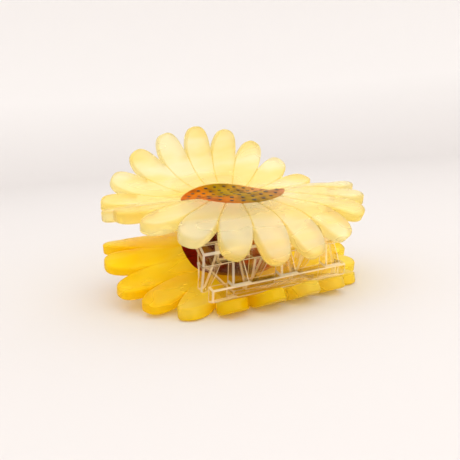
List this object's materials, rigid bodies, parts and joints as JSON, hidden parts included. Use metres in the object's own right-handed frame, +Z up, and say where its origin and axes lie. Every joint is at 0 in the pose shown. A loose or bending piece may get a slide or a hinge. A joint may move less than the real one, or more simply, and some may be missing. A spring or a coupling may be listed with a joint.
{
  "type": "hair claw clip",
  "caption": "Daisy-shaped hair claw clip: bent petal plates with inlaid centres and clear toothed jaws, opened by squeezing the handle petals against a spring.",
  "frame": {"origin": "centre of the bounding box at the table the closed clip lies on", "axes": "+X along the hinge pin, -Y towards the toothed side, +Y towards the handle petals, +Z up from the table"},
  "size_m": [0.0648, 0.0611, 0.0411],
  "materials": {
    "petals_lower": "gloss",
    "petals_upper": "gloss",
    "centre_lower": "gloss",
    "centre_upper": "gloss",
    "clear_lower": "gloss",
    "clear_upper": "gloss",
    "steel": "satin",
    "spring": "satin"
  },
  "bodies": {
    "lower_half": {"lower_flower": "petals_lower", "lower_centre": "centre_lower", "lower_jaw": "clear_lower", "hinge_pin": "steel", "spring_coil": "spring"},
    "upper_half": {"upper_flower": "petals_upper", "upper_centre": "centre_upper", "upper_jaw": "clear_upper", "spring_upper_leg": "spring"}
  },
  "joints": [
    {"name": "clip_hinge", "type": "hinge", "parent": "lower_half", "child": "upper_half", "pos_m": [0, 0.00643, 0.01643], "axis": [-1, 0, 0], "range_deg": [0, 45], "stiffness_Nm_per_rad": 0.12, "springref_deg": -20.05}
  ]
}
